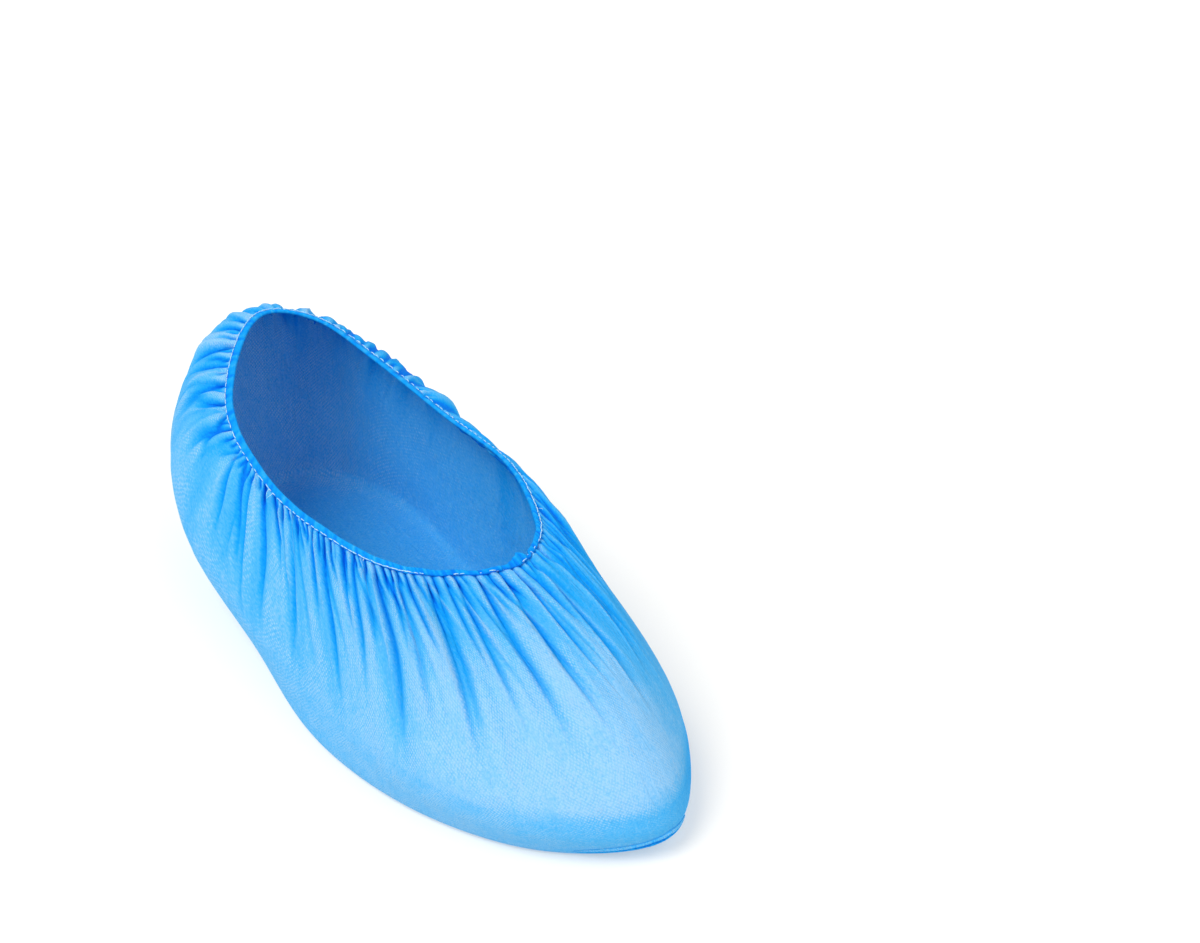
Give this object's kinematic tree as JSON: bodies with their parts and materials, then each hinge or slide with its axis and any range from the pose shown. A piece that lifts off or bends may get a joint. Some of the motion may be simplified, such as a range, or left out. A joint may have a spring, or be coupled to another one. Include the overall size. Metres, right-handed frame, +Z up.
{
  "type": "shoe cover",
  "caption": "Disposable nonwoven shoe cover in its worn form, with a gathered elastic hem round the opening and a seam tuck across the lower toe.",
  "frame": {"origin": "on the floor, under the middle of the part's box", "axes": "+Z up, toe towards -Y, heel towards +Y, outer side of the foot towards -X"},
  "size_m": [0.1286, 0.3234, 0.1009],
  "materials": {
    "nonwoven": "thin spunbond nonwoven with small embossed points, soft matt sheen",
    "hem": "double layer of the same nonwoven, sewn down over the elastic",
    "thread": "pale matt sewing thread"
  },
  "bodies": {
    "root": {"fabric_body": "nonwoven", "elastic_hem": "hem", "toe_seam": "nonwoven"}
  },
  "joints": []
}
